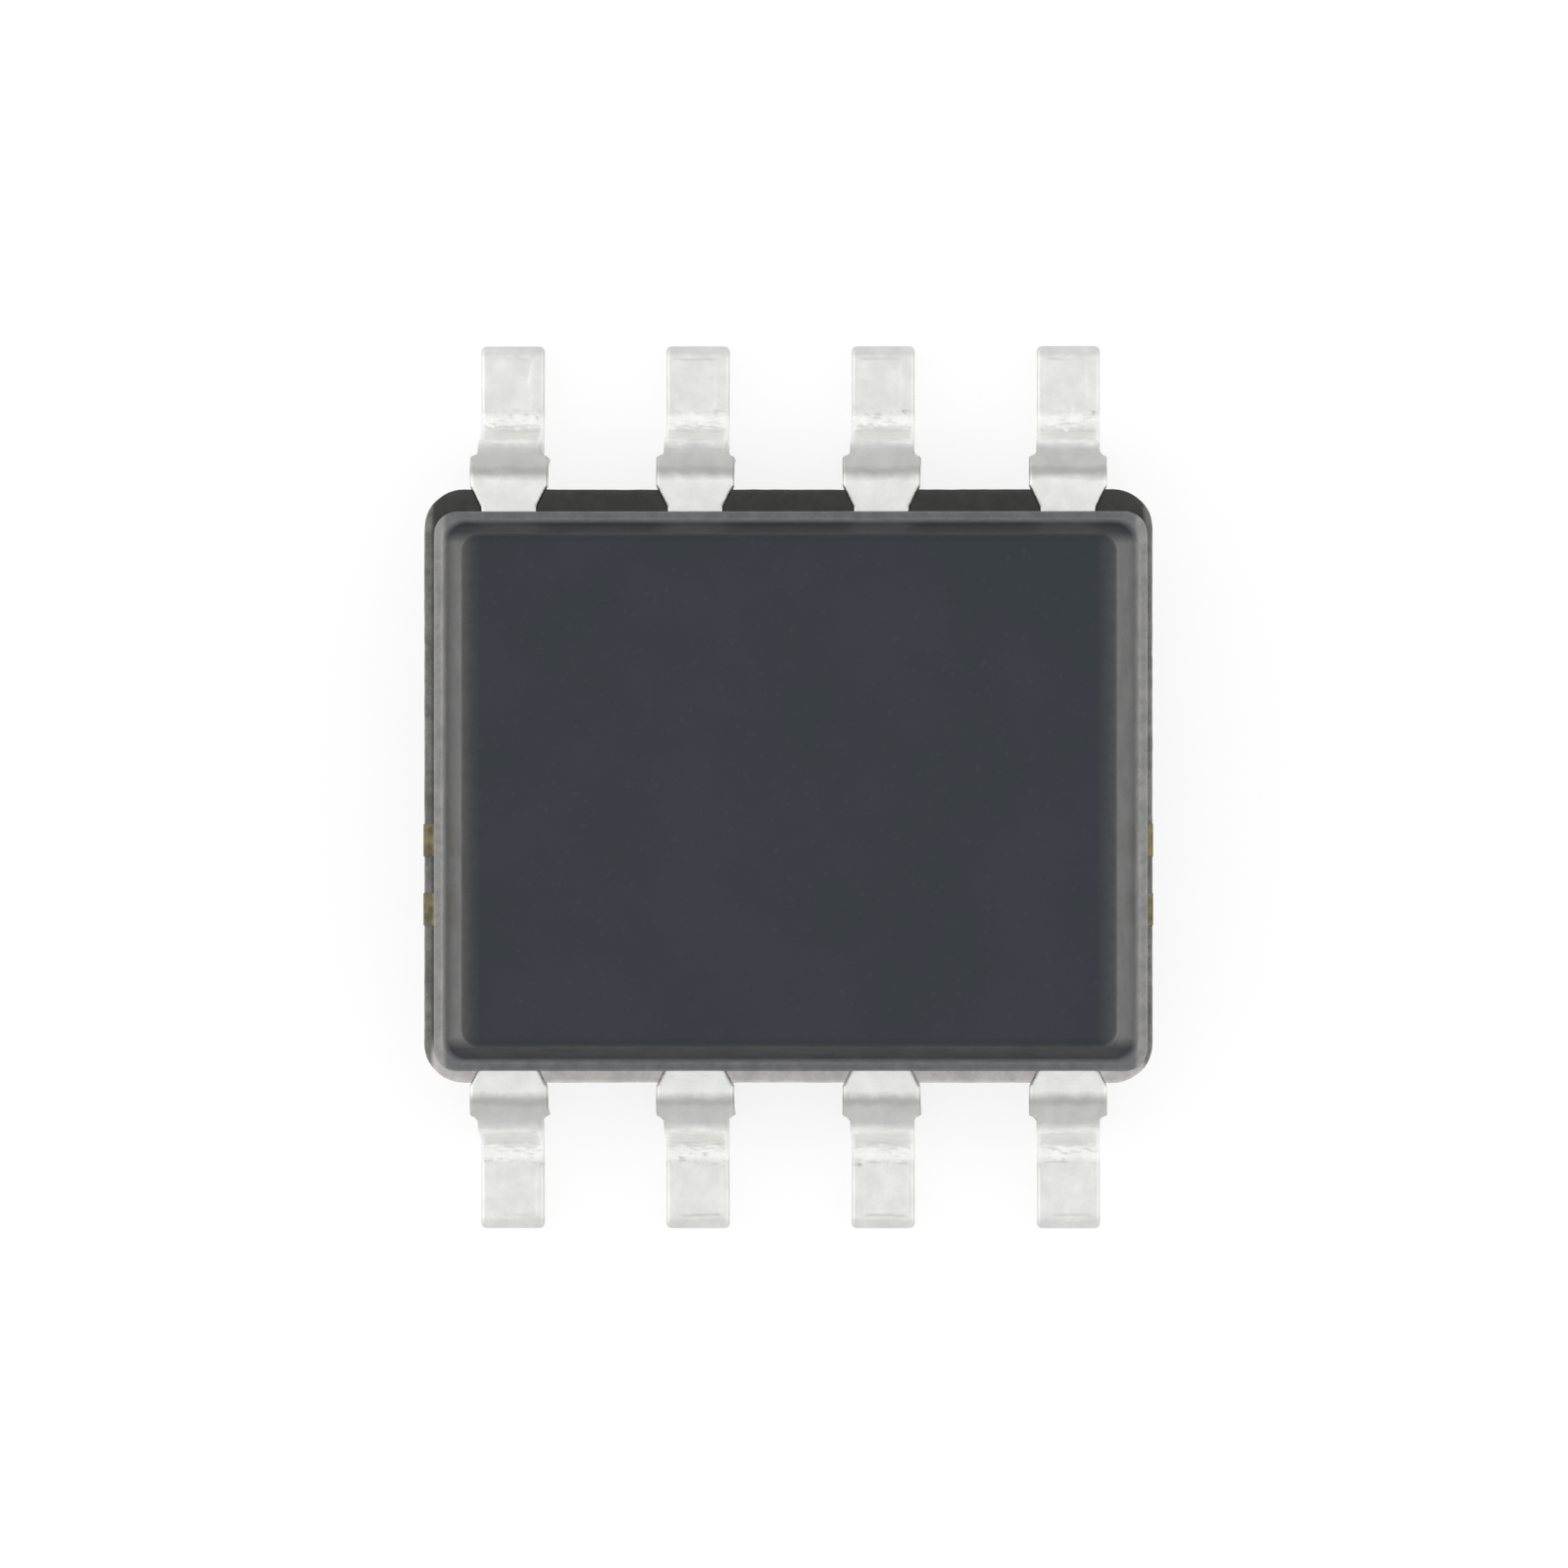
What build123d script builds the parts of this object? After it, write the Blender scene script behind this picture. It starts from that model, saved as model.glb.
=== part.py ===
from build123d import *
import math
import os

# An eight-terminal surface-mount power MOSFET: a small moulded block with four gull-wing
# terminals along its front and four along its rear.  Inside, a silicon die is soldered to a
# copper pad that runs out as the four drain terminals, and gold wires join the die to the
# three source terminals and the gate terminal.
#
# Millimetres.  X runs along the rows of terminals, Y from the front row to the rear row and
# Z upwards from the board.  The origin is the centre of the footprint, on the board.

os.makedirs("parts", exist_ok=True)

# ---------------------------------------------------------------- driving dimensions
# Terminals
terminals_per_side = 4
lead_pitch = 1.27
sheet = 0.20  # thickness of the copper sheet that all terminals are stamped from
neck_width = 0.39  # where the terminal leaves the resin
stub_width = 0.53  # stumps of the dam bar that once tied the terminals together
foot_width = 0.43
neck_cover = 0.005  # how far the narrow neck runs on inside the moulded wall
stub_flare = 0.145  # length over which the neck widens to the stump
stub_length = 0.22
stub_run_out = 0.06  # length over which the stump narrows to the foot's width
shoulder_flat = 0.075  # level length outside the moulded rim
shoulder_bend = 0.18  # radii of the sheet's middle line
heel_bend = 0.25
riser_lean = 0.109  # how far the riser leans out between its two corners
foot_length = 0.442  # flat length of the sole
tip_corner = 0.04
tip_edge = 0.05

# Moulded body
body_end = 0.525  # body beyond the middle of the outermost terminal, at the parting plane
body_width = 3.81
body_height = 1.45
standoff = 0.15
upper_draft_end = 0.170  # how far the upper walls lean in over their height, at the short ends
upper_draft_side = 0.125  # and along the rows of terminals
lower_draft = 0.133
step_width = 0.054  # low step round the foot of the upper walls
step_height = 0.030
rim_corner = 0.16  # plan radius of the body's corners at the parting plane
wall_corner = 0.14  # at the foot of the upper walls
crown_corner = 0.12  # plan radius of the same corners at the top and bottom
crown_edge = 0.10  # rounding of the top's edges
base_edge = 0.05
rim_ledge_end = 0.055  # ledge left at the parting plane, on the short ends
rim_ledge_side = 0.12  # and along the rows of terminals
rim_plan_corner = 0.27
mould_shift_right = 0.017  # how far both mould halves sit off the middle of the rim
mould_shift_front = 0.035

# Copper inside the body
post_set_back = 0.305  # from the moulded wall to the bond posts
post_depth = 0.45
post_overhang = 0.195  # source post beyond its outer terminals' middle
gate_post_width = 0.60
post_corner = 0.06
pad_gap = 0.20  # between the bond posts and the die pad
pad_end_clearance = 0.58  # resin beyond the die pad, at the short ends
pad_rear_clearance = 0.655
pad_corner = 0.10
pad_downset = 0.15  # the die pad lies this much below the terminals
downset_bend = 0.13
root_width = 0.70  # straps from the die pad to the drain terminals
lock_hole = 0.20
tie_bar_width = 0.22
tie_bar_gap = 0.25  # between the two tie bars at each short end
tie_bar_root = 0.30  # length of tie bar that lies within the die pad
tie_bar_flat = 0.10  # level length before it rises

# Die, its solder and its wires
die_thickness = 0.20
attach_thickness = 0.03
die_end_margin = 0.50  # bare pad around the die
die_side_margin = 0.15
attach_margin = 0.05  # solder beyond the die's edges
source_wires = 14
wire_diameter = 0.05
ball_diameter = 0.12
ball_height = 0.03
near_ball_inset = 0.45  # the two rows of balls, from the die's front edge
far_ball_inset = 0.80
wire_margin = 0.12  # from the outer wires to the edge of the die or the post
gate_pad_inset = 0.20  # gate pad's middle from the die's edges
gate_pad_keepout = 0.40
loop_rise = 0.18  # top of a wire's loop above the die
loop_bend = 0.10
stitch_bend = 0.30
stitch_length = 0.08
stitch_squash = 0.30  # height of a stitch's middle line, in wire diameters

# ---------------------------------------------------------------- derived places
row_length = (terminals_per_side - 1) * lead_pitch
terminal_places = [i * lead_pitch - row_length / 2 for i in range(terminals_per_side)]
source_places = terminal_places[:-1]
gate_place = terminal_places[-1]

body_length = row_length + 2 * body_end
rim_length = body_length + 2 * rim_ledge_end
rim_width = body_width + 2 * rim_ledge_side

sheet_middle = standoff + body_height / 2
sheet_top = sheet_middle + sheet / 2
sheet_base = sheet_middle - sheet / 2
body_top = standoff + body_height

neck_reach = body_width / 2 - neck_cover
stub_reach = neck_reach + stub_flare
stub_end = stub_reach + stub_length
riser_turn = math.atan2(sheet_middle - sheet / 2, riser_lean)
bend_leg = math.tan(riser_turn / 2)  # length that a bend takes from each leg, for a radius of 1
shoulder_corner = rim_width / 2 + shoulder_flat + shoulder_bend * bend_leg
heel_corner = shoulder_corner + riser_lean
tip_reach = heel_corner + heel_bend * bend_leg + foot_length

post_outer = body_width / 2 - post_set_back
post_inner = post_outer - post_depth
pad_front = -(post_inner - pad_gap)
pad_rear = body_width / 2 - pad_rear_clearance
pad_length = body_length - 2 * pad_end_clearance
pad_width = pad_rear - pad_front
pad_middle = (pad_rear + pad_front) / 2
pad_level = sheet_middle - pad_downset
pad_top = pad_level + sheet / 2

die_length = pad_length - 2 * die_end_margin
die_width = pad_width - 2 * die_side_margin
die_front = pad_middle - die_width / 2
die_base = pad_top + attach_thickness
die_top = die_base + die_thickness
post_middle = -(post_inner + post_outer) / 2


# ---------------------------------------------------------------- shared shapes
def terminal_outline(inner_reach):
    """Plan of one terminal of the rear row, from inner_reach out to its tip."""
    right_edge = [
        (neck_width / 2, inner_reach),
        (neck_width / 2, neck_reach),
        (stub_width / 2, stub_reach),
        (stub_width / 2, stub_end),
        (foot_width / 2, stub_end + stub_run_out),
        (foot_width / 2, tip_reach),
    ]
    left_edge = [(-x, y) for x, y in reversed(right_edge)]
    with BuildSketch() as outline:
        with BuildLine():
            Polyline(*right_edge, *left_edge, close=True)
        make_face()
        fillet(outline.vertices().group_by(Axis.Y)[-1], tip_corner)
    return outline.sketch


def formed_section(inner_points, inner_bends):
    """Side view of the rear row's bent sheet, from its inner end out to the tip: X is out, Y is up."""
    path = [
        *inner_points,
        (shoulder_corner, sheet_middle),
        (heel_corner, sheet / 2),
        (tip_reach, sheet / 2),
    ]
    with BuildSketch() as section:
        with BuildLine():
            FilletPolyline(*path, radius=[*inner_bends, shoulder_bend, heel_bend])
        trace(line_width=sheet)
        tip = section.vertices().group_by(Axis.X)[-1].sort_by(Axis.Y)[-1]
        fillet(tip, tip_edge)
    return section.sketch


def finish(piece, name):
    """Name a finished piece and write it out."""
    piece.part.label = name
    export_step(piece.part, f"parts/{name}.step")


# ---------------------------------------------------------------- drain frame
def make_drain_leadframe():
    """The die pad with its four terminals, set down below them, and its cut tie bars."""
    terminal = terminal_outline(pad_rear)
    straps_end = post_outer
    rise_end = pad_rear + pad_downset
    section = formed_section(
        [(pad_front, pad_level), (pad_rear, pad_level), (rise_end, sheet_middle)],
        [downset_bend, downset_bend],
    )
    tie_span = 2 * tie_bar_width + tie_bar_gap
    tie_middles = [pad_front + tie_bar_width / 2, pad_front + tie_span - tie_bar_width / 2]
    tie_start = pad_length / 2 - tie_bar_root
    tie_rise = pad_length / 2 + tie_bar_flat
    with BuildPart() as frame:
        with BuildSketch(Plane.YZ):
            add(section)
        extrude(amount=rim_length / 2, both=True)
        with BuildSketch():
            with Locations((0, pad_middle)):
                RectangleRounded(pad_length, pad_width, pad_corner)
            for x in terminal_places:
                with Locations((x, (pad_middle + straps_end) / 2)):
                    Rectangle(root_width, straps_end - pad_middle)
                with Locations((x, 0)):
                    add(terminal)
            with Locations((-pad_length / 2, pad_rear), (pad_length / 2, pad_rear)):
                Circle(lock_hole / 2, mode=Mode.SUBTRACT)
            for x in terminal_places:
                with Locations((x, straps_end - root_width / 4)):
                    Circle(lock_hole / 2, mode=Mode.SUBTRACT)
        extrude(amount=body_top, mode=Mode.INTERSECT)
        for y in tie_middles:
            with BuildSketch(Plane.XZ.offset(-y)) as tie_section:
                with BuildLine():
                    FilletPolyline(
                        (tie_start, pad_level),
                        (tie_rise, pad_level),
                        (tie_rise + pad_downset, sheet_middle),
                        (rim_length / 2, sheet_middle),
                        radius=downset_bend,
                    )
                trace(line_width=sheet)
                mirror(about=Plane.YZ)
            extrude(amount=tie_bar_width / 2, both=True)
    return frame


# ---------------------------------------------------------------- source and gate frames
def front_frame(places, post_start, post_end):
    """Terminals of the front row on one bond post that runs from post_start to post_end."""
    terminal = terminal_outline(post_outer - post_corner)
    section = formed_section([(post_inner, sheet_middle)], [])
    post_length = post_end - post_start
    with BuildPart() as frame:
        with BuildSketch(Plane.YZ):
            add(section)
        extrude(amount=rim_length / 2, both=True)
        with BuildSketch():
            with Locations(((post_start + post_end) / 2, (post_inner + post_outer) / 2)):
                RectangleRounded(post_length, post_depth, post_corner)
            for x in places:
                with Locations((x, 0)):
                    add(terminal)
            for x in places[1:]:
                with Locations((x - lead_pitch / 2, post_outer - lock_hole)):
                    Circle(lock_hole / 2, mode=Mode.SUBTRACT)
        extrude(amount=body_top, mode=Mode.INTERSECT)
        mirror(about=Plane.XZ, mode=Mode.REPLACE)
    return frame


# ---------------------------------------------------------------- die and solder
def make_slab(length, width, base, thickness):
    """A flat rectangular piece on the middle of the die pad."""
    with BuildPart() as slab:
        with BuildSketch(Plane((0, pad_middle, base))):
            Rectangle(length, width)
        extrude(amount=thickness)
    return slab


# ---------------------------------------------------------------- bond wires
def make_wire(start, end):
    """A gold wire: a flattened ball on the die, a loop, and a stitch pressed on the post."""
    run = Vector(end[0] - start[0], end[1] - start[1], 0)
    span = run.length
    loop_plane = Plane(origin=start, x_dir=run, z_dir=run.cross(Vector(0, 0, 1)))
    ball_middle = die_top + ball_height / 2
    stitch_level = sheet_top + stitch_squash * wire_diameter
    with BuildPart() as wire:
        with BuildLine(loop_plane):
            FilletPolyline(
                (0, ball_middle),
                (0, die_top + loop_rise),
                (span - stitch_length / 2, stitch_level),
                (span + stitch_length / 2, stitch_level),
                radius=[loop_bend, stitch_bend],
            )
        with BuildSketch(Plane((start[0], start[1], ball_middle))):
            Circle(wire_diameter / 2)
        sweep()
        with BuildSketch(Plane((start[0], start[1], die_top))):
            Circle(ball_diameter / 2)
        extrude(amount=ball_height)
        split(bisect_by=Plane.XY.offset(sheet_top), keep=Keep.TOP)
    return wire


def source_wire_ends(post_start, post_end):
    """Where each source wire starts and ends: two staggered rows of balls, one of stitches."""
    first = max(-die_length / 2, post_start) + wire_margin
    last = min(die_length / 2 - gate_pad_keepout, post_end - wire_margin)
    insets = [near_ball_inset, far_ball_inset]
    ends = []
    for i in range(source_wires):
        x = first + (last - first) * i / (source_wires - 1)
        ends.append(((x, die_front + insets[i % 2], 0), (x, post_middle, 0)))
    return ends


# ---------------------------------------------------------------- moulded body
def mould_plane(level):
    """Where the mould halves are centred, at a height."""
    return Plane((mould_shift_right, -mould_shift_front, level))


def make_mould_body(enclosed):
    """Resin around the frames, the die and the wires, with the ledge left at the parting plane."""
    wall_length = body_length - 2 * step_width
    wall_width = body_width - 2 * step_width
    crown_length = wall_length - 2 * upper_draft_end
    crown_width = wall_width - 2 * upper_draft_side
    base_length = body_length - 2 * lower_draft
    base_width = body_width - 2 * lower_draft
    with BuildPart() as body:
        with BuildSketch(Plane.XY.offset(sheet_base)):
            RectangleRounded(rim_length, rim_width, rim_plan_corner)
        extrude(amount=sheet)
        with BuildSketch(mould_plane(sheet_top)):
            RectangleRounded(body_length, body_width, rim_corner)
        extrude(amount=step_height)
        with BuildSketch(mould_plane(sheet_top + step_height)):
            RectangleRounded(wall_length, wall_width, wall_corner)
        with BuildSketch(mould_plane(body_top)):
            RectangleRounded(crown_length, crown_width, crown_corner)
        loft()
        fillet(body.faces().sort_by(Axis.Z)[-1].edges(), crown_edge)
        with BuildSketch(mould_plane(standoff)):
            RectangleRounded(base_length, base_width, crown_corner)
        with BuildSketch(mould_plane(sheet_base)):
            RectangleRounded(body_length, body_width, rim_corner)
        loft()
        fillet(body.faces().sort_by(Axis.Z)[0].edges(), base_edge)
        for piece in enclosed:
            add(piece.part, mode=Mode.SUBTRACT)
    return body


# ---------------------------------------------------------------- assembly
source_post_start = source_places[0] - post_overhang
source_post_end = source_places[-1] + post_overhang
gate_post_start = gate_place - gate_post_width / 2
gate_post_end = gate_place + gate_post_width / 2

pieces = {
    "drain_leadframe": make_drain_leadframe(),
    "source_leadframe": front_frame(source_places, source_post_start, source_post_end),
    "gate_lead": front_frame([gate_place], gate_post_start, gate_post_end),
    "die_attach": make_slab(
        die_length + 2 * attach_margin, die_width + 2 * attach_margin, pad_top, attach_thickness
    ),
    "silicon_die": make_slab(die_length, die_width, die_base, die_thickness),
}
gate_ball = (die_length / 2 - gate_pad_inset, die_front + gate_pad_inset, 0)
pieces["gate_wire"] = make_wire(gate_ball, (gate_place, post_middle, 0))
for number, (start, end) in enumerate(source_wire_ends(source_post_start, source_post_end), 1):
    pieces[f"source_wire_{number:02d}"] = make_wire(start, end)
pieces["mould_body"] = make_mould_body(list(pieces.values()))

for name, piece in pieces.items():
    finish(piece, name)
print(f"over the tips {2 * tip_reach:.3f}, over the rim {rim_length:.3f}, high {body_top:.3f}")
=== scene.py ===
"""Looks of a small eight-terminal power transistor: moulded epoxy body, tin-plated terminals.

Lengths are in millimetres and become metres where a mesh, a lamp or the camera is made.
"""
import math

import bmesh
import bpy
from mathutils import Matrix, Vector, noise


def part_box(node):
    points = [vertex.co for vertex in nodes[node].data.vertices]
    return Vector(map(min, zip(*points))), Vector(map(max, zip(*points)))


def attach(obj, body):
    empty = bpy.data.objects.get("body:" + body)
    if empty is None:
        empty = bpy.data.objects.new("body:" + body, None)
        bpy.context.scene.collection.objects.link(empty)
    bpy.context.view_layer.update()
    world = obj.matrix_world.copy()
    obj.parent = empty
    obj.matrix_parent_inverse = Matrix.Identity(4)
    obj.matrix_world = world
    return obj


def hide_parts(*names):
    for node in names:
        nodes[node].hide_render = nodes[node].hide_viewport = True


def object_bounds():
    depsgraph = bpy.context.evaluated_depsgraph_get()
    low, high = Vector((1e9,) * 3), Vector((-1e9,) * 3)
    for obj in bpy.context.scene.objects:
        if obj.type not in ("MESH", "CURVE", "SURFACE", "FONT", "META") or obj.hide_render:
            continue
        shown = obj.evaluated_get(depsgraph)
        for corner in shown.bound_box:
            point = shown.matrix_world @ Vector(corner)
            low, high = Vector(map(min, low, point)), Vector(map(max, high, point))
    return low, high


MM = 0.001

# ---------------------------------------------------------------- sizes, in millimetres
LEAD_PITCH = 1.27
TERMINALS = 4
SHEET = 0.20
NECK_WIDTH = 0.39
STUB_WIDTH = 0.53
FOOT_WIDTH = 0.43
NECK_REACH = 1.90
STUB_REACH = 2.045
STUB_END = 2.24  # sheared a little squarer and shorter than the plain frame
STUB_RUN_OUT = 0.03
SHOULDER_BEND = 0.18
HEEL_BEND = 0.25
SHOULDER_FLAT = 0.075
RISER_LEAN = 0.109
EDGE_ROLL = 0.030  # rounding of the terminals' upper edges, with their plating
EDGE_BURR = 0.012  # and of their lower edges
TIP_ROUND = 0.035
CUT_REACH = 1.72  # inside the resin, where the fine terminals take over from the frame

RIM_CORNER = 0.27
BODY_CORNER = 0.16
WALL_CORNER = 0.14
CROWN_CORNER = 0.12
RIM_LEDGE_END = 0.055
RIM_LEDGE_SIDE = 0.12
RIM_SINK = 0.004  # the resin between the terminals lies this far below their faces
MOULD_SHIFT = (0.017, -0.035)
STEP_WIDTH = 0.054
STEP_HEIGHT = 0.030
STEP_EDGE = 0.016
DRAFT_END = 0.170
DRAFT_SIDE = 0.125
LOWER_DRAFT = 0.133
CROWN_EDGE = 0.10
CROWN_TUCK = 0.09  # how much the wall's corners tighten over the rounded crown
BASE_EDGE = 0.05

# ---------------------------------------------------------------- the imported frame
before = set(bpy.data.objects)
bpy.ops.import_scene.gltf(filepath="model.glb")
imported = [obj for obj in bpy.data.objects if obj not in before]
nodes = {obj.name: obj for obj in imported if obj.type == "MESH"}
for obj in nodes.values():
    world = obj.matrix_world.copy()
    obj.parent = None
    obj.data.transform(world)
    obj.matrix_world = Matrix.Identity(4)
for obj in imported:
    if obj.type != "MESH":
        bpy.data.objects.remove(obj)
cad_low, cad_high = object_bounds()

body_low, body_high = (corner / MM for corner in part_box("mould_body"))
gate_low, gate_high = (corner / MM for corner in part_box("gate_lead"))
RIM_HALF_X = body_high.x
RIM_HALF_Y = body_high.y
BODY_TOP = body_high.z
STANDOFF = body_low.z
SHEET_TOP = gate_high.z
SHEET_MIDDLE = SHEET_TOP - SHEET / 2
SHEET_BASE = SHEET_TOP - SHEET
TIP_REACH = cad_high.y / MM
BODY_HALF_X = RIM_HALF_X - RIM_LEDGE_END
BODY_HALF_Y = RIM_HALF_Y - RIM_LEDGE_SIDE
GATE_PLACE = (TERMINALS - 1) * LEAD_PITCH / 2


# ---------------------------------------------------------------- mesh helpers
def smooth_step(low, high, value):
    """0 below low, 1 above high, and a soft ramp between them."""
    t = min(max((value - low) / (high - low), 0.0), 1.0)
    return t * t * (3 - 2 * t)


def grain(point, size, seed=0.0):
    """Repeatable noise from -1 to 1, whose lumps are about size across."""
    return noise.noise(Vector(point) / size + Vector((seed, 0.37 * seed, -seed)))


def mesh_object(name, points, faces):
    """A mesh object from points in millimetres."""
    mesh = bpy.data.meshes.new(name)
    mesh.from_pydata([Vector(p) * MM for p in points], [], faces)
    mesh.validate()
    piece = bpy.data.objects.new(name, mesh)
    bpy.context.scene.collection.objects.link(piece)
    return piece


def bridge_rings(count, ring_size):
    """Quads between consecutive rings, with the first and last ring closed."""
    faces = []
    for ring in range(count - 1):
        start, above = ring * ring_size, (ring + 1) * ring_size
        for i in range(ring_size):
            j = (i + 1) % ring_size
            faces.append((start + i, start + j, above + j, above + i))
    faces.append(tuple(reversed(range(ring_size))))
    faces.append(tuple(range((count - 1) * ring_size, count * ring_size)))
    return faces


def shade(piece, angle=35):
    """Smooth shading that keeps edges sharper than the angle, in degrees."""
    piece.data.shade_smooth()
    piece.data.set_sharp_from_angle(angle=math.radians(angle))


# ---------------------------------------------------------------- moulded body
CORNER_STEPS = 12
STEPS_ALONG_X = 96
STEPS_ALONG_Y = 78


def rounded_loop(half_x, half_y, corner, centre):
    """A rounded rectangle, counter-clockwise, with the same number of points for any size."""
    corners = [(1, 1), (-1, 1), (-1, -1), (1, -1)]
    runs = [STEPS_ALONG_X, STEPS_ALONG_Y, STEPS_ALONG_X, STEPS_ALONG_Y]
    loop = []
    for quarter, (side_x, side_y) in enumerate(corners):
        middle = (side_x * (half_x - corner), side_y * (half_y - corner))
        for step in range(CORNER_STEPS + 1):
            angle = math.radians(90 * (quarter + step / CORNER_STEPS))
            x = middle[0] + corner * math.cos(angle)
            y = middle[1] + corner * math.sin(angle)
            loop.append((x, y))
        next_x, next_y = corners[(quarter + 1) % 4]
        angle = math.radians(90 * (quarter + 1))
        end_x = next_x * (half_x - corner) + corner * math.cos(angle)
        end_y = next_y * (half_y - corner) + corner * math.sin(angle)
        start_x, start_y = loop[-1]
        for step in range(1, runs[quarter]):
            t = step / runs[quarter]
            loop.append((start_x + (end_x - start_x) * t, start_y + (end_y - start_y) * t))
    return [(x + centre[0], y + centre[1]) for x, y in loop]


def wall_inset(level, foot_level, edge_level, slope, edge):
    """How far a drafted wall with a rounded edge stands in from its foot, at a level.

    Levels count away from the parting plane; edge_level is the flat face beyond the edge.
    """
    lean = math.atan(slope)
    round_level = edge_level - edge
    tangent_level = round_level + edge * math.sin(lean)
    if level <= tangent_level:
        return (level - foot_level) * slope
    tangent_inset = (tangent_level - foot_level) * slope
    turn = math.asin(min((level - round_level) / edge, 1.0))
    return tangent_inset + edge * (math.cos(lean) - math.cos(turn))


def body_rings():
    """Rings from the middle of the underside, over the rim, to the middle of the top."""
    rings = []
    lower_height = SHEET_BASE - STANDOFF
    lower_slope = LOWER_DRAFT / lower_height

    def half_ring(inset_x, inset_y, corner, level):
        half_x, half_y = BODY_HALF_X - inset_x, BODY_HALF_Y - inset_y
        loop = rounded_loop(half_x, half_y, max(corner, 0.02), MOULD_SHIFT)
        rings.append([(x, y, level) for x, y in loop])

    # underside and lower walls
    base_inset = wall_inset(lower_height, 0, lower_height, lower_slope, BASE_EDGE)
    for margin in (0.60, 0.10, 0.015):
        inset = base_inset + margin
        half_ring(inset, inset, CROWN_CORNER - BASE_EDGE, STANDOFF)
    for step in range(7):
        depth = lower_height - BASE_EDGE * (1 - math.cos(math.radians(15 * step)))
        inset = wall_inset(depth, 0, lower_height, lower_slope, BASE_EDGE)
        half_ring(inset, inset, CROWN_CORNER - BASE_EDGE * (1 - step / 6), SHEET_BASE - depth)
    for step in (5, 4, 3, 2, 1, 0.05, -0.04):
        depth = lower_height * step / 6
        if depth < lower_height - BASE_EDGE * 1.2:
            half_ring(depth * lower_slope, depth * lower_slope, BODY_CORNER, SHEET_BASE - depth)

    # rim: the resin that filled the gap between the mould halves, sheared off roughly
    def rim_ring(inset, level, rough):
        loop = rounded_loop(RIM_HALF_X - inset, RIM_HALF_Y - inset, RIM_CORNER - inset, (0, 0))
        ring = []
        for x, y in loop:
            nibble = 0.6 * grain((x, y, 3 * level), 0.11, 3.0)
            nibble += 0.4 * grain((x, y, level), 0.035, 5.0)
            pull = 1 - rough * (0.5 + 0.5 * nibble) / math.hypot(x, y)
            lift = 0.35 * rough * grain((x, y, level), 0.06, 8.0)
            ring.append((x * pull, y * pull, level + lift))
        rings.append(ring)

    rim_base, rim_top = SHEET_BASE + RIM_SINK, SHEET_TOP - RIM_SINK
    rim_ring(0.045, rim_base, 0.0)
    rim_ring(0.012, rim_base + 0.002, 0.006)
    rim_ring(0.002, rim_base + 0.012, 0.010)
    for step in range(1, 6):
        rim_ring(0.0, SHEET_BASE + SHEET * step / 6, 0.012)
    rim_ring(0.002, rim_top - 0.014, 0.010)
    rim_ring(0.010, rim_top - 0.003, 0.007)
    rim_ring(0.022, rim_top, 0.003)
    rim_ring(0.040, rim_top, 0.0)

    # low step round the foot of the upper walls
    step_top = SHEET_TOP + STEP_HEIGHT
    half_ring(-0.002, -0.002, BODY_CORNER, rim_top)
    half_ring(0.0, 0.0, BODY_CORNER, SHEET_TOP + 0.002)
    for turn in range(0, 91, 15):
        angle = math.radians(turn)
        inset = STEP_EDGE * (1 - math.cos(angle))
        level = step_top - STEP_EDGE * (1 - math.sin(angle))
        half_ring(inset, inset, BODY_CORNER - inset, level)
    half_ring(STEP_WIDTH - 0.012, STEP_WIDTH - 0.012, WALL_CORNER, step_top)
    half_ring(STEP_WIDTH - 0.004, STEP_WIDTH - 0.004, WALL_CORNER, step_top + 0.003)

    # upper walls, rounded crown and top
    upper_height = BODY_TOP - step_top
    slope_end, slope_side = DRAFT_END / upper_height, DRAFT_SIDE / upper_height

    def crown_ring(height, margin=0.0):
        inset_x = wall_inset(height, 0, upper_height, slope_end, CROWN_EDGE)
        inset_y = wall_inset(height, 0, upper_height, slope_side, CROWN_EDGE)
        rise = height / upper_height
        rounding = max(height - (upper_height - CROWN_EDGE), 0.0) / CROWN_EDGE
        corner = WALL_CORNER + (CROWN_CORNER - WALL_CORNER) * rise - CROWN_TUCK * rounding**2
        inward = STEP_WIDTH + margin
        half_ring(inward + inset_x, inward + inset_y, corner, step_top + height)

    straight = upper_height - CROWN_EDGE
    for step in (0.02, 0.06, 0.2, 0.4, 0.6, 0.8, 0.95, 1.0):
        crown_ring(straight * step)
    for turn in range(10, 91, 8):
        crown_ring(straight + CROWN_EDGE * math.sin(math.radians(turn)))
    for margin in (0.012, 0.10, 0.60):
        crown_ring(upper_height, margin)
    return rings


def welded_copy(node, name):
    """A copy of a node's mesh whose vertices are joined up, so that it is one closed surface."""
    source = bmesh.new()
    source.from_mesh(nodes[node].data)
    bmesh.ops.remove_doubles(source, verts=source.verts, dist=1e-5 * MM)
    mesh = bpy.data.meshes.new(name)
    source.to_mesh(mesh)
    source.free()
    copy = bpy.data.objects.new(name, mesh)
    bpy.context.scene.collection.objects.link(copy)
    return copy


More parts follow.
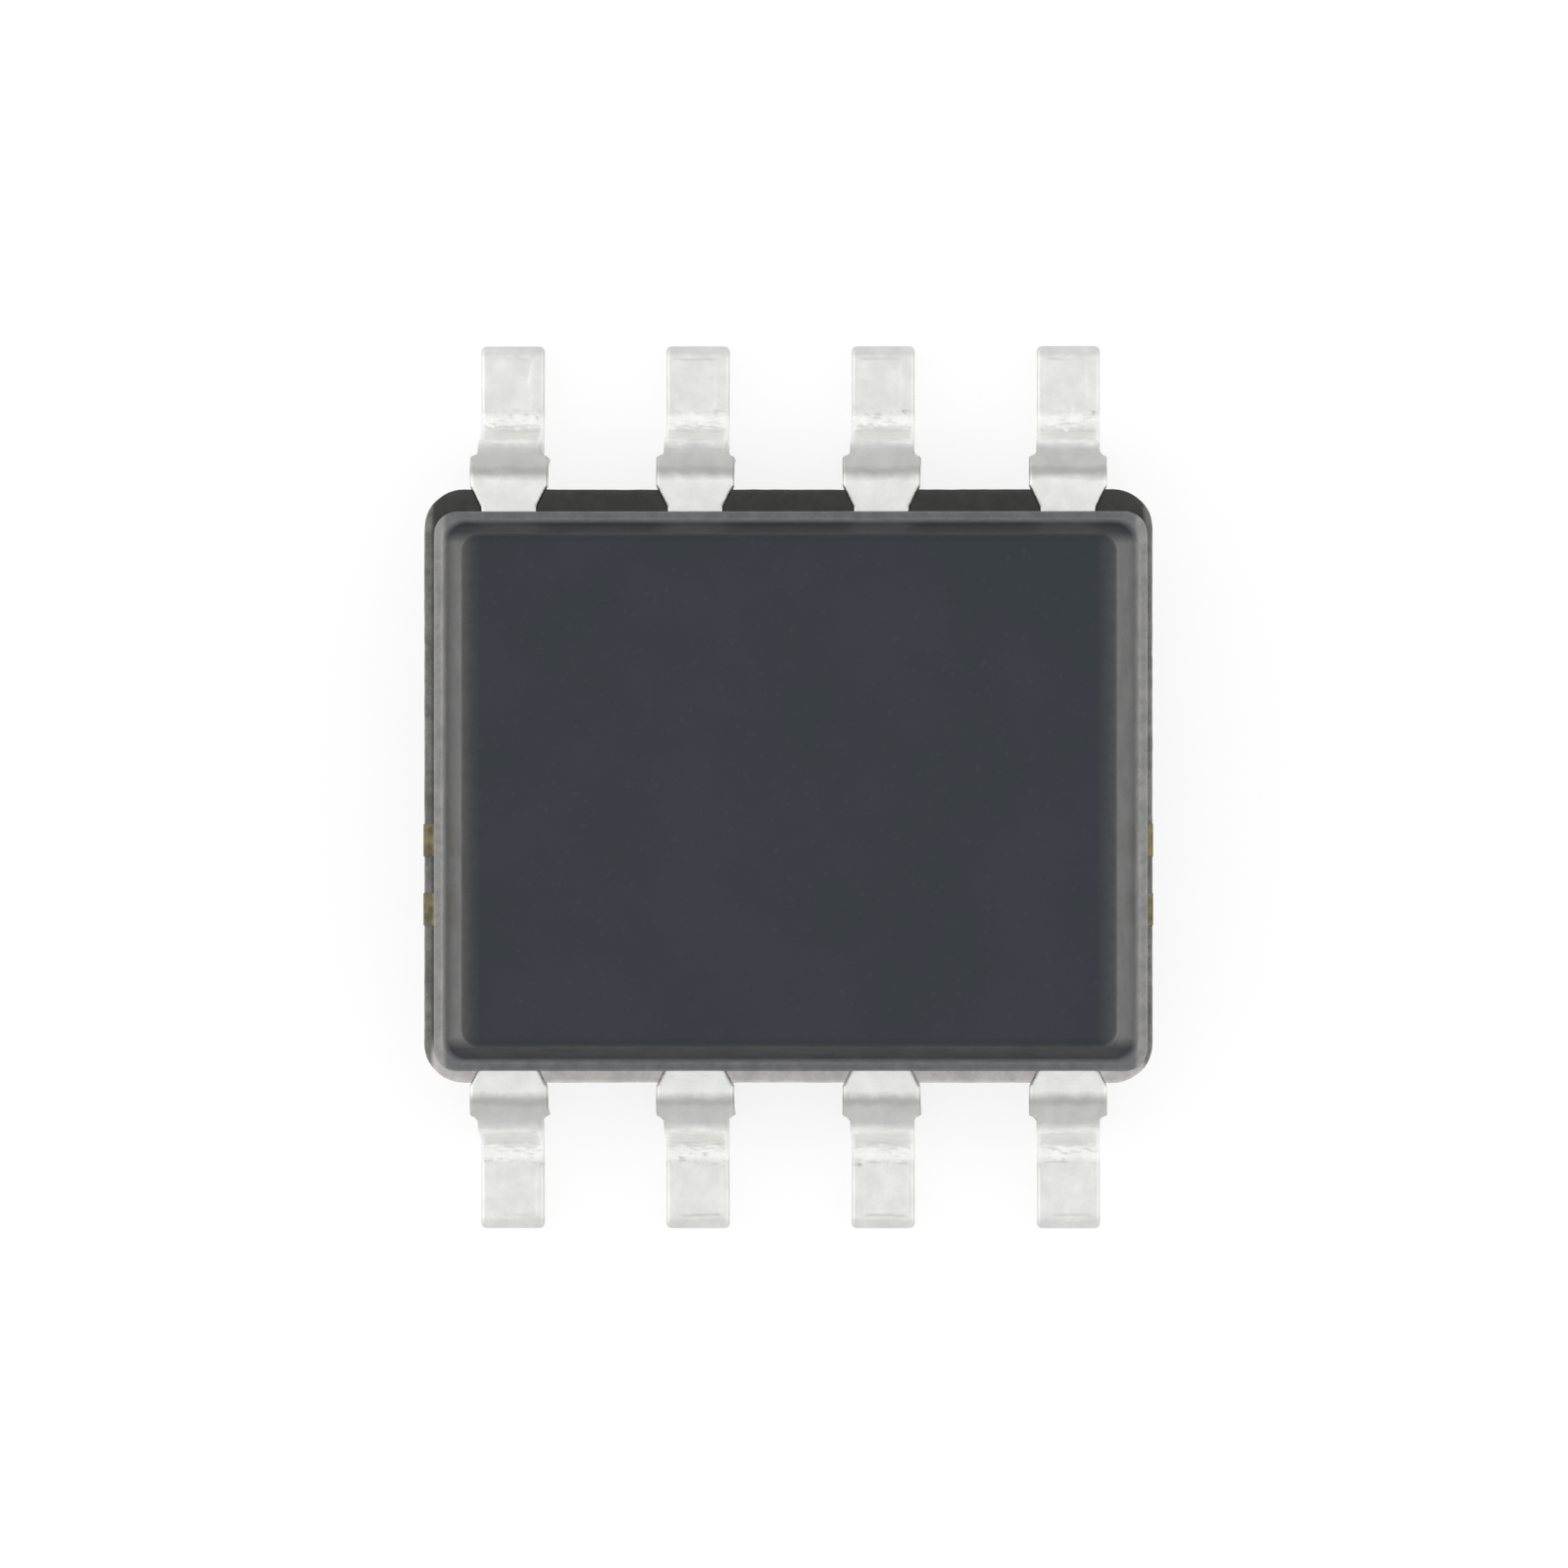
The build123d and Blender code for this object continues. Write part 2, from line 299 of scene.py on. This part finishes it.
def make_body(enclosed):
    """The moulded body, with the exact hollow of the frames, the die and the wires in it."""
    rings = body_rings()
    points = [point for ring in rings for point in ring]
    body = mesh_object("epoxy_body", points, bridge_rings(len(rings), len(rings[0])))
    for node in enclosed:
        cutter = welded_copy(node, "cutter")
        hollow = body.modifiers.new("hollow", "BOOLEAN")
        hollow.operation = "DIFFERENCE"
        hollow.solver = "MANIFOLD"
        hollow.object = cutter
        bpy.context.view_layer.update()
        evaluated = body.evaluated_get(bpy.context.evaluated_depsgraph_get())
        cut_mesh = bpy.data.meshes.new_from_object(evaluated)
        body.modifiers.clear()
        body.data = cut_mesh
        bpy.data.objects.remove(cutter)
    shade(body)
    return body


# ---------------------------------------------------------------- terminals
STATION = 0.011  # spacing of the rings along a terminal
TIP_STEPS = 4
DROP = SHEET_MIDDLE - SHEET / 2
RISER_TURN = math.atan2(DROP, RISER_LEAN)
BEND_LEG = math.tan(RISER_TURN / 2)
SHOULDER_START = RIM_HALF_Y + SHOULDER_FLAT
SHOULDER_CORNER = SHOULDER_START + SHOULDER_BEND * BEND_LEG
HEEL_CORNER = SHOULDER_CORNER + RISER_LEAN
HEEL_END = HEEL_CORNER + HEEL_BEND * BEND_LEG
RISER_LENGTH = math.hypot(RISER_LEAN, DROP) - (SHOULDER_BEND + HEEL_BEND) * BEND_LEG


def terminal_stations():
    """Middle line of the bent sheet as (reach, level, angle below level)."""
    stations = []

    def straight(reach, level, angle, length):
        count = max(round(length / STATION), 1)
        for i in range(count):
            far = length * i / count
            place = (reach + far * math.cos(angle), level - far * math.sin(angle))
            stations.append((*place, angle))
        return reach + length * math.cos(angle), level - length * math.sin(angle)

    def bend(reach, level, start, end, radius):
        sense = 1 if end > start else -1
        middle = reach - sense * radius * math.sin(start)
        middle_level = level - sense * radius * math.cos(start)
        count = max(round(radius * abs(end - start) / STATION), 1)
        for i in range(count + 1):
            angle = start + (end - start) * i / count
            along = middle + sense * radius * math.sin(angle)
            height = middle_level + sense * radius * math.cos(angle)
            if i < count:
                stations.append((along, height, angle))
        return along, height

    shoulder = straight(CUT_REACH, SHEET_MIDDLE, 0.0, SHOULDER_START - CUT_REACH)
    riser = bend(*shoulder, 0.0, RISER_TURN, SHOULDER_BEND)
    heel = straight(*riser, RISER_TURN, RISER_LENGTH)
    foot = bend(*heel, RISER_TURN, 0.0, HEEL_BEND)
    straight(*foot, 0.0, TIP_REACH - TIP_ROUND - foot[0])
    stations.append((TIP_REACH - TIP_ROUND, SHEET / 2, 0.0))
    return stations


def terminal_width(reach):
    """Width of a terminal, by how far out it is."""
    if reach < NECK_REACH:
        return NECK_WIDTH
    if reach < STUB_REACH:
        t = (reach - NECK_REACH) / (STUB_REACH - NECK_REACH)
        return NECK_WIDTH + (STUB_WIDTH - NECK_WIDTH) * t
    t = smooth_step(STUB_END, STUB_END + STUB_RUN_OUT, reach)
    return STUB_WIDTH + (FOOT_WIDTH - STUB_WIDTH) * t


def section_loop(half_width, half_height):
    """Counter-clockwise section of the plated sheet: rolled upper edges, tight lower ones."""
    loop = []

    def corner(x, z, radius, start):
        for step in range(6):
            angle = math.radians(start + 90 * step / 5)
            loop.append((x + radius * math.cos(angle), z + radius * math.sin(angle)))

    def flat(x_to, z_to, count):
        x_from, z_from = loop[-1]
        for step in range(1, count):
            t = step / count
            loop.append((x_from + (x_to - x_from) * t, z_from + (z_to - z_from) * t))

    roll, burr = EDGE_ROLL, EDGE_BURR
    corner(half_width - roll, half_height - roll, roll, 0)
    flat(roll - half_width, half_height, 24)
    corner(roll - half_width, half_height - roll, roll, 90)
    flat(-half_width, burr - half_height, 8)
    corner(burr - half_width, burr - half_height, burr, 180)
    flat(half_width - burr, -half_height, 8)
    corner(half_width - burr, burr - half_height, burr, 270)
    flat(half_width, half_height - roll, 8)
    return loop


CREASE_PLACE = 0.045  # beyond the start of the shoulder's bend
CREASE_DEPTH = 0.0060
LUMP_HEIGHT = 0.0100
PIT_DEPTH = 0.045
PATCH_DEPTH = 0.0090
PATCH_MARGIN = 0.072  # left of the foot's width on each side of the patch
PATCH_SHIFT = 0.022


def surface_relief(across, reach, half_width, seed):
    """How far the upper face of a terminal stands proud or sunk, in millimetres."""
    spot = (across, reach, seed)
    relief = 0.0012 * grain(spot, 0.05, seed)

    # crease that the bending tool left over the shoulder's bend
    off_crease = abs(reach - SHOULDER_START - CREASE_PLACE) + 0.008 * grain(spot, 0.12, seed)
    relief -= CREASE_DEPTH * (1 - smooth_step(0.004, 0.026, off_crease))

    # lumps and pits in the plating at the heel
    heel = smooth_step(HEEL_END - 0.27, HEEL_END - 0.20, reach)
    heel *= 1 - smooth_step(HEEL_END - 0.01, HEEL_END + 0.03, reach)
    lumps = grain(spot, 0.035, seed + 2.0)
    pits = max(grain(spot, 0.05, seed + 7.0) - 0.25, 0.0)
    relief += heel * (LUMP_HEIGHT * lumps - PIT_DEPTH * pits)

    # patch pressed flat on the foot, with ragged edges
    ragged = 0.010 * grain(spot, 0.06, seed + 9.0)
    patch_side = half_width - PATCH_MARGIN + 0.012 * grain((0, reach, 0), 0.12, seed)
    off_patch = abs(across + PATCH_SHIFT) + 0.3 * ragged
    patch = 1 - smooth_step(patch_side - 0.010, patch_side + 0.010, off_patch)
    patch *= smooth_step(HEEL_END + 0.004, HEEL_END + 0.022, reach + ragged)
    patch *= 1 - smooth_step(TIP_REACH - 0.100, TIP_REACH - 0.080, reach + ragged)
    return relief - patch * (PATCH_DEPTH - 0.0020 * grain(spot, 0.07, seed + 4.0))


def terminal_rings(place, row, seed):
    """Rings of one terminal: place along its row, row +1 at the rear or -1 at the front."""
    rings = []
    stations = terminal_stations()
    tip = [stations[-1]] * TIP_STEPS
    for index, (reach, level, angle) in enumerate(stations + tip):
        cap = max(index - len(stations) + 1, 0)
        turn = math.radians(90 * cap / TIP_STEPS)
        shrink = TIP_ROUND * (1 - math.cos(turn))
        reach += TIP_ROUND * math.sin(turn)
        half_width = terminal_width(reach) / 2
        ring = []
        for across, up in section_loop(half_width, SHEET / 2):
            edge = abs(across) / half_width
            across_in = across * (1 - shrink / half_width)
            up_in = up - shrink * max(up, 0) / (SHEET / 2)
            waver = 0.0035 * grain((0, reach, place), 0.09, seed + math.copysign(20, across))
            across_in += math.copysign(waver, across) * smooth_step(0.7, 1.0, edge)
            if up > SHEET / 2 - EDGE_ROLL:
                facing = 1 - smooth_step(half_width - 1.3 * EDGE_ROLL, half_width, abs(across))
                up_in += facing * surface_relief(across, reach, half_width, seed)
            out = reach + up_in * math.sin(angle)
            height = level + up_in * math.cos(angle)
            across_in *= terminal_width(out) / (2 * half_width)
            ring.append((place + across_in * row, out * row, height))
        rings.append(ring)
    return rings


def inner_frame(node, name):
    """The part of a node that lies within the resin, without its terminals."""
    piece = welded_copy(node, name)
    inner = bmesh.new()
    inner.from_mesh(piece.data)
    for row in (1, -1):
        everything = inner.verts[:] + inner.edges[:] + inner.faces[:]
        cut = bmesh.ops.bisect_plane(
            inner,
            geom=everything,
            plane_co=(0, row * CUT_REACH * MM, 0),
            plane_no=(0, row, 0),
            clear_outer=True,
        )
        rim = [item for item in cut["geom_cut"] if isinstance(item, bmesh.types.BMEdge)]
        bmesh.ops.holes_fill(inner, edges=rim, sides=0)
    inner.to_mesh(piece.data)
    inner.free()
    return piece


def make_terminals(node, name, places, row, seed):
    """A frame's inner part with fine, plated terminals, as one piece that stands for the node."""
    piece = inner_frame(node, name)
    piece.data.materials.clear()
    piece.data.materials.append(COPPER)
    piece.data.materials.append(TIN)
    whole = bmesh.new()
    whole.from_mesh(piece.data)
    for number, place in enumerate(places):
        rings = terminal_rings(place, row, seed + 3.1 * number)
        faces = bridge_rings(len(rings), len(rings[0]))
        verts = [whole.verts.new(Vector(p) * MM) for ring in rings for p in ring]
        for face in faces:
            made = whole.faces.new([verts[i] for i in face])
            made.material_index = 1
            made.smooth = True
    bmesh.ops.recalc_face_normals(whole, faces=whole.faces)
    whole.to_mesh(piece.data)
    whole.free()
    shade(piece, 40)
    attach(piece, "root")
    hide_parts(node)
    return piece


# ---------------------------------------------------------------- materials
def new_material(name):
    """An empty node material: returns it with its node tree and its shader."""
    material = bpy.data.materials.new(name)
    material.use_nodes = True
    return material, material.node_tree, material.node_tree.nodes["Principled BSDF"]


def add_node(tree, kind, inputs=None, **settings):
    """A node with its settings and its inputs, which are values or sockets to link."""
    node = tree.nodes.new(kind)
    for key, value in settings.items():
        setattr(node, key, value)
    for key, value in (inputs or {}).items():
        if isinstance(value, bpy.types.NodeSocket):
            tree.links.new(value, node.inputs[key])
        else:
            node.inputs[key].default_value = value
    return node


def object_point(tree):
    """Where a point lies on the object, in metres."""
    return add_node(tree, "ShaderNodeTexCoord").outputs["Object"]


def noise_field(tree, size, detail=3.0, roughness=0.5):
    """Noise with lumps about size millimetres across."""
    inputs = {
        "Vector": object_point(tree),
        "Scale": 1 / (size * MM),
        "Detail": detail,
        "Roughness": roughness,
    }
    return add_node(tree, "ShaderNodeTexNoise", inputs).outputs["Fac"]


def calculate(tree, operation, first, second=0.0):
    """One sum on values or sockets."""
    node = add_node(tree, "ShaderNodeMath", {0: first, 1: second}, operation=operation)
    return node.outputs["Value"]


def ramp(tree, value, low, high, low_result=0.0, high_result=1.0):
    """A value carried from one range to another, held at its ends."""
    inputs = {
        "Value": value,
        "From Min": low,
        "From Max": high,
        "To Min": low_result,
        "To Max": high_result,
    }
    return add_node(tree, "ShaderNodeMapRange", inputs).outputs["Result"]


def past(tree, value, low, high):
    """0 below low, 1 above high, and a ramp between them, in millimetres."""
    return ramp(tree, value, low * MM, high * MM)


def short_of(tree, value, low, high):
    """1 below low, 0 above high, and a ramp between them, in millimetres."""
    return ramp(tree, value, low * MM, high * MM, 1.0, 0.0)


def between(tree, value, rise, fall, soft):
    """1 from rise to fall, in millimetres, and 0 outside them, over a soft edge that wide."""
    after = past(tree, value, rise - soft / 2, rise + soft / 2)
    before = short_of(tree, value, fall - soft / 2, fall + soft / 2)
    return calculate(tree, "MULTIPLY", after, before)


def place_along(tree, axis):
    """How far along an axis of the object a point lies, in metres."""
    return add_node(tree, "ShaderNodeSeparateXYZ", {"Vector": object_point(tree)}).outputs[axis]


def off_middle(tree, axis, middle=0.0):
    """How far to either side of a middle, in millimetres along an axis, a point lies."""
    shifted = calculate(tree, "SUBTRACT", place_along(tree, axis), middle * MM)
    return calculate(tree, "ABSOLUTE", shifted)


def mix_colour(tree, factor, first, second):
    """A mix of two colours."""
    node = add_node(tree, "ShaderNodeMix", {"Factor": factor}, data_type="RGBA")
    for socket, colour in ((node.inputs[6], first), (node.inputs[7], second)):
        if isinstance(colour, bpy.types.NodeSocket):
            tree.links.new(colour, socket)
        else:
            socket.default_value = (*colour, 1)
    return node.outputs[2]


def bump(tree, shader, height, depth):
    """Relief of a depth in millimetres on a shader's surface."""
    settings = {"Height": height, "Distance": depth * MM, "Strength": 1.0}
    node = add_node(tree, "ShaderNodeBump", settings)
    tree.links.new(node.outputs["Normal"], shader.inputs["Normal"])


# the resin's tones, each a pair that its clouds or its scuffs wander between
TOP_TONES = (0.029, 0.038, 0.046), (0.036, 0.040, 0.055)
SPECK_TONE = (0.056, 0.059, 0.067)
# painted reflection: the end walls paler than the top; painted shade: the long walls darker than
# the top
END_WALL_PAINTED_REFLECTION = (0.064, 0.064, 0.064), (0.082, 0.081, 0.079)
LONG_WALL_PAINTED_SHADE = (0.015, 0.017, 0.020), (0.019, 0.021, 0.025)
# the rim's pairs are painted light and shade: dark at the rear as painted shade, pale in front
# and grey at the ends as painted light
REAR_RIM_PAINTED_SHADE = (0.050, 0.050, 0.048), (0.062, 0.061, 0.058)
FRONT_RIM_PAINTED_LIGHT = (0.56, 0.54, 0.52), (0.70, 0.67, 0.66)
END_RIM_PAINTED_LIGHT = (0.15, 0.15, 0.145), (0.26, 0.257, 0.25)
# painted highlight: the low step and the foot of the wall above it
STEP_PAINTED_HIGHLIGHT = (0.175, 0.178, 0.183), (0.225, 0.226, 0.230)
STEP_END_PAINTED_HIGHLIGHT = (0.31, 0.31, 0.305), (0.41, 0.405, 0.395)


def epoxy_material():
    """Filled epoxy: blue-grey with a fine spark-eroded grain, and painted light and shade on its
    walls, rim and step.
    """
    material, tree, shader = new_material("epoxy_compound")
    height = place_along(tree, "Z")
    cloud = ramp(tree, noise_field(tree, 0.9, 4.0, 0.6), 0.35, 0.65)
    colour = mix_colour(tree, cloud, *TOP_TONES)
    speck = ramp(tree, noise_field(tree, 0.045, 2.0), 0.62, 0.74, 0.0, 0.30)
    colour = mix_colour(tree, speck, colour, SPECK_TONE)
    scuff = ramp(tree, noise_field(tree, 0.10, 4.0, 0.7), 0.38, 0.64)

    # every pair mottled here is painted light and shade on the walls, rim and step
    def mottled_painted_shading(tones):
        return mix_colour(tree, scuff, *tones)

    # walls: those at the ends are painted paler, a painted reflection of the floor, and the long
    # ones are dull and painted dark, a painted shade
    off_x = off_middle(tree, "X", MOULD_SHIFT[0])
    off_y = off_middle(tree, "Y", MOULD_SHIFT[1])
    crown = BODY_HALF_X - STEP_WIDTH - DRAFT_END
    end_wall = past(tree, off_x, crown - 0.12, crown + 0.02)
    colour = mix_colour(tree, end_wall, colour, mottled_painted_shading(END_WALL_PAINTED_REFLECTION))
    crown = BODY_HALF_Y - STEP_WIDTH - DRAFT_SIDE
    long_wall = past(tree, off_y, crown - 0.05, crown + 0.03)
    colour = mix_colour(tree, long_wall, colour, mottled_painted_shading(LONG_WALL_PAINTED_SHADE))

    # resin sheared between the mould halves, toned by side as painted light and shade: grey at
    # the ends and pale in front as painted light, dark at the rear as painted shade
    rim = between(tree, height, SHEET_BASE - 0.005, SHEET_TOP - RIM_SINK / 2, 0.003)
    front = short_of(tree, place_along(tree, "Y"), 0.085 - BODY_HALF_Y, 0.205 - BODY_HALF_Y)
    ends = past(tree, off_middle(tree, "X"), BODY_HALF_X - 0.02, BODY_HALF_X + 0.01)
    rim_painted_light_and_shade = mix_colour(tree, front, mottled_painted_shading(REAR_RIM_PAINTED_SHADE), mottled_painted_shading(FRONT_RIM_PAINTED_LIGHT))
    rim_painted_light_and_shade = mix_colour(tree, ends, rim_painted_light_and_shade, mottled_painted_shading(END_RIM_PAINTED_LIGHT))
    colour = mix_colour(tree, rim, colour, rim_painted_light_and_shade)

    # the low step is painted pale as a painted highlight, most of all at the ends, and this
    # painted light fades up the wall, lifting the shade in the corner at its foot
    step_top = SHEET_TOP + STEP_HEIGHT
    above_rim = past(tree, height, SHEET_TOP - RIM_SINK, SHEET_TOP)
    up_wall = short_of(tree, height, step_top + 0.005, step_top + 0.16)
    step_ends = past(tree, off_x, BODY_HALF_X - 0.09, BODY_HALF_X - 0.06)
    step_painted_light = mix_colour(tree, step_ends, mottled_painted_shading(STEP_PAINTED_HIGHLIGHT), mottled_painted_shading(STEP_END_PAINTED_HIGHLIGHT))
    colour = mix_colour(tree, calculate(tree, "MULTIPLY", above_rim, up_wall), colour, step_painted_light)
    tree.links.new(colour, shader.inputs["Base Color"])

    gloss = ramp(tree, noise_field(tree, 0.25), 0.3, 0.7, 0.28, 0.36)
    dull = calculate(tree, "MULTIPLY", long_wall, 0.30)
    tree.links.new(calculate(tree, "ADD", gloss, dull), shader.inputs["Roughness"])
    shader.inputs["Specular IOR Level"].default_value = 0.20
    bump(tree, shader, noise_field(tree, 0.030, 3.0, 0.6), 0.0012)
    return material


# how pale the plating is at each reach along a terminal: painted shade over the shoulder's bend,
# down the riser and at the tip, and a painted highlight at the heel
TERMINAL_PAINTED_LIGHT_AND_SHADE = [
    (STUB_REACH, 0.84),
    (SHOULDER_START - 0.020, 0.84),
    (SHOULDER_START + 0.035, 0.46),
    (SHOULDER_START + 0.060, 0.44),
    (SHOULDER_START + 0.085, 0.52),
    (STUB_END + 0.055, 0.56),
    (STUB_END + 0.085, 0.66),
    (STUB_END + 0.12, 0.88),
    (HEEL_END - 0.05, 0.93),
    (HEEL_END - 0.01, 0.78),
    (HEEL_END + 0.05, 0.80),
    (TIP_REACH - 0.08, 0.80),
    (TIP_REACH - 0.05, 0.68),
]


def tin_material():
    """Matte tin plating: pale, softly speckled and cloudy, with painted shade over the bends,
    down the risers and at the tips, and a painted highlight at the heels.
    """
    material, tree, shader = new_material("matte_tin")
    reach = off_middle(tree, "Y")
    wander = ramp(tree, noise_field(tree, 0.10, 4.0, 0.6), 0.3, 0.7, -0.012 * MM, 0.012 * MM)
    wandering = calculate(tree, "ADD", reach, wander)
    first, last = TERMINAL_PAINTED_LIGHT_AND_SHADE[0][0], TERMINAL_PAINTED_LIGHT_AND_SHADE[-1][0]
    # the painted light and shade along the terminal, its edges wandering with the noise
    tones = add_node(tree, "ShaderNodeValToRGB", {"Fac": past(tree, wandering, first, last)})
    stops = tones.color_ramp.elements
    while len(stops) < len(TERMINAL_PAINTED_LIGHT_AND_SHADE):
        stops.new(0.5)
    for stop, (place, tone) in zip(stops, TERMINAL_PAINTED_LIGHT_AND_SHADE):
        stop.position = (place - first) / (last - first)
        stop.color = (tone, tone, 0.985 * tone, 1)
    patches = ramp(tree, noise_field(tree, 0.12, 4.0, 0.65), 0.38, 0.66)
    cloudy = mix_colour(tree, patches, (0.93, 0.93, 0.925), (1.05, 1.05, 1.03))
    specks = ramp(tree, noise_field(tree, 0.035, 3.0), 0.60, 0.72)
    heel = between(tree, reach, STUB_END + 0.10, HEEL_END + 0.02, 0.06)
    specks = calculate(tree, "MULTIPLY", specks, heel)
    cloudy = mix_colour(tree, specks, cloudy, (0.84, 0.84, 0.83))
    settings = {"data_type": "RGBA", "blend_type": "MULTIPLY"}
    colour = add_node(tree, "ShaderNodeMix", {"Factor": 1.0}, **settings)
    tree.links.new(tones.outputs["Color"], colour.inputs[6])
    tree.links.new(cloudy, colour.inputs[7])
    tree.links.new(colour.outputs[2], shader.inputs["Base Color"])
    shader.inputs["Metallic"].default_value = 1.0
    roughness = ramp(tree, noise_field(tree, 0.06), 0.3, 0.7, 0.30, 0.46)
    tree.links.new(roughness, shader.inputs["Roughness"])
    bump(tree, shader, noise_field(tree, 0.022, 3.0, 0.6), 0.0014)
    return material


def copper_material():
    """Copper alloy: warm inside the body, tarnished to olive brown where a tie bar was cut."""
    material, tree, shader = new_material("copper_alloy")
    stain = ramp(tree, noise_field(tree, 0.08, 4.0), 0.35, 0.65)
    cut_end = past(tree, off_middle(tree, "X"), RIM_HALF_X - 0.10, RIM_HALF_X - 0.06)
    bright = mix_colour(tree, stain, (0.72, 0.42, 0.30), (0.62, 0.35, 0.24))
    tarnished = mix_colour(tree, stain, (0.26, 0.23, 0.12), (0.14, 0.13, 0.09))
    tree.links.new(mix_colour(tree, cut_end, bright, tarnished), shader.inputs["Base Color"])
    shader.inputs["Metallic"].default_value = 1.0
    tree.links.new(ramp(tree, stain, 0, 1, 0.35, 0.5), shader.inputs["Roughness"])
    bump(tree, shader, noise_field(tree, 0.03), 0.001)
    return material


def plain_metal(name, first, second, size, roughness, metallic=1.0):
    """A metal or semiconductor whose tone wanders between two colours."""
    material, tree, shader = new_material(name)
    field = noise_field(tree, size, 4.0, 0.6)
    colour = mix_colour(tree, ramp(tree, field, 0.35, 0.65), first, second)
    tree.links.new(colour, shader.inputs["Base Color"])
    gloss = ramp(tree, field, 0.3, 0.7, roughness, roughness + 0.12)
    tree.links.new(gloss, shader.inputs["Roughness"])
    shader.inputs["Metallic"].default_value = metallic
    bump(tree, shader, noise_field(tree, size / 3), 0.0005)
    return material


def seen(tree):
    """1 for rays from the camera, or that show the surroundings in metal or glass."""
    path = add_node(tree, "ShaderNodeLightPath")
    any_ray = path.outputs["Is Camera Ray"]
    for name in ("Is Glossy Ray", "Is Transmission Ray"):
        any_ray = calculate(tree, "MAXIMUM", any_ray, path.outputs[name])
    return any_ray


def floor_material():
    """A pale floor that shows as white and still takes a soft shadow."""
    material, tree, shader = new_material("pale_floor")
    shown = seen(tree)
    colour = mix_colour(tree, shown, FLOOR_TONE, FLOOR_TONE_SEEN)
    tree.links.new(colour, shader.inputs["Base Color"])
    shader.inputs["Roughness"].default_value = 0.9
    shader.inputs["Specular IOR Level"].default_value = 0.0
    shader.inputs["Emission Color"].default_value = (1, 1, 1, 1)
    glow = calculate(tree, "MULTIPLY", shown, FLOOR_GLOW)
    tree.links.new(glow, shader.inputs["Emission Strength"])
    return material


# ---------------------------------------------------------------- stage
FLOOR_TONE = (0.80, 0.80, 0.80)
FLOOR_TONE_SEEN = (0.27, 0.27, 0.27)  # with the glow it shows as white
FLOOR_GLOW = 0.80
AMBIENT = 0.85
FLOOR_SIZE = 400
FLOOR_DROP = 0.003  # keeps the floor's face clear of the soles' faces
PICTURE_WIDTH = 10.709  # what the camera sees across, at the top of the feet
CAMERA_DISTANCE = 115.0
CAMERA_TILT = (1.2, 0.6)  # degrees off straight above, towards the right and the front
CAMERA_AIM = (-0.035, 0.016, 0.65)
SENSOR = 36.0


def make_camera():
    """A camera almost straight above the part, far enough off to look square on."""
    camera = bpy.data.cameras.new("camera")
    camera.sensor_width = SENSOR
    camera.lens = SENSOR * CAMERA_DISTANCE / PICTURE_WIDTH
    camera.clip_start = 0.001
    camera.clip_end = 10
    holder = bpy.data.objects.new("camera", camera)
    right, front = (math.radians(angle) for angle in CAMERA_TILT)
    sight = Vector((math.tan(right), -math.tan(front), 1)).normalized()
    holder.location = (Vector(CAMERA_AIM) + sight * CAMERA_DISTANCE) * MM
    holder.rotation_euler = (front, right, 0)
    bpy.context.scene.collection.objects.link(holder)
    bpy.context.scene.camera = holder


def make_lamp(name, place, size, power, colour):
    """A square soft lamp that faces the part, at a place in millimetres."""
    lamp = bpy.data.lights.new(name, "AREA")
    lamp.shape = "SQUARE"
    lamp.size = size * MM
    lamp.energy = power
    lamp.color = colour
    holder = bpy.data.objects.new(name, lamp)
    holder.location = Vector(place) * MM
    aim = Vector((0, 0, SHEET_TOP * MM)) - holder.location
    holder.rotation_mode = "QUATERNION"
    holder.rotation_quaternion = aim.to_track_quat("-Z", "Y")
    bpy.context.scene.collection.objects.link(holder)


def make_stage():
    """Floor, lamps and surroundings."""
    half = FLOOR_SIZE / 2
    corners = [(x * half, y * half, -FLOOR_DROP) for x, y in ((-1, -1), (1, -1), (1, 1), (-1, 1))]
    floor = mesh_object("floor", corners, [(0, 1, 2, 3)])
    floor.data.materials.append(floor_material())
    make_lamp("left_softbox", (-90, 10, 40), 80, 0.010, (1.0, 0.99, 0.97))
    make_lamp("right_softbox", (90, -5, 50), 60, 0.004, (0.96, 0.98, 1.0))
    world = bpy.data.worlds.new("studio")
    bpy.context.scene.world = world
    world.use_nodes = True
    tree = world.node_tree
    background = tree.nodes["Background"]
    background.inputs["Color"].default_value = (1, 1, 1, 1)
    tree.links.new(ramp(tree, seen(tree), 0, 1, AMBIENT, 1.0), background.inputs["Strength"])
    bpy.context.scene.view_settings.view_transform = "Standard"


# ---------------------------------------------------------------- the whole part
make_camera()
make_stage()

EPOXY = epoxy_material()
TIN = tin_material()
COPPER = copper_material()
SILICON = plain_metal("silicon", (0.22, 0.23, 0.26), (0.30, 0.31, 0.34), 0.4, 0.18)
SOLDER = plain_metal("solder", (0.56, 0.56, 0.54), (0.66, 0.66, 0.63), 0.2, 0.35)
GOLD = plain_metal("gold_wire", (0.92, 0.66, 0.28), (0.98, 0.74, 0.36), 0.1, 0.2)

terminal_places = [(i - (TERMINALS - 1) / 2) * LEAD_PITCH for i in range(TERMINALS)]
enclosed_nodes = sorted(name for name in nodes if name != "mould_body")

body_piece = make_body(enclosed_nodes)
body_piece.data.materials.clear()
body_piece.data.materials.append(EPOXY)
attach(body_piece, "root")
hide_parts("mould_body")

make_terminals("drain_leadframe", "drain_terminals", terminal_places, 1, 1.0)
make_terminals("source_leadframe", "source_terminals", terminal_places[:-1], -1, 41.0)
make_terminals("gate_lead", "gate_terminal", terminal_places[-1:], -1, 57.0)

inner_materials = {"silicon_die": SILICON, "die_attach": SOLDER}
for name, node in nodes.items():
    if "_wire" in name:
        inner_materials[name] = GOLD
    if name in inner_materials:
        node.data.materials.clear()
        node.data.materials.append(inner_materials[name])
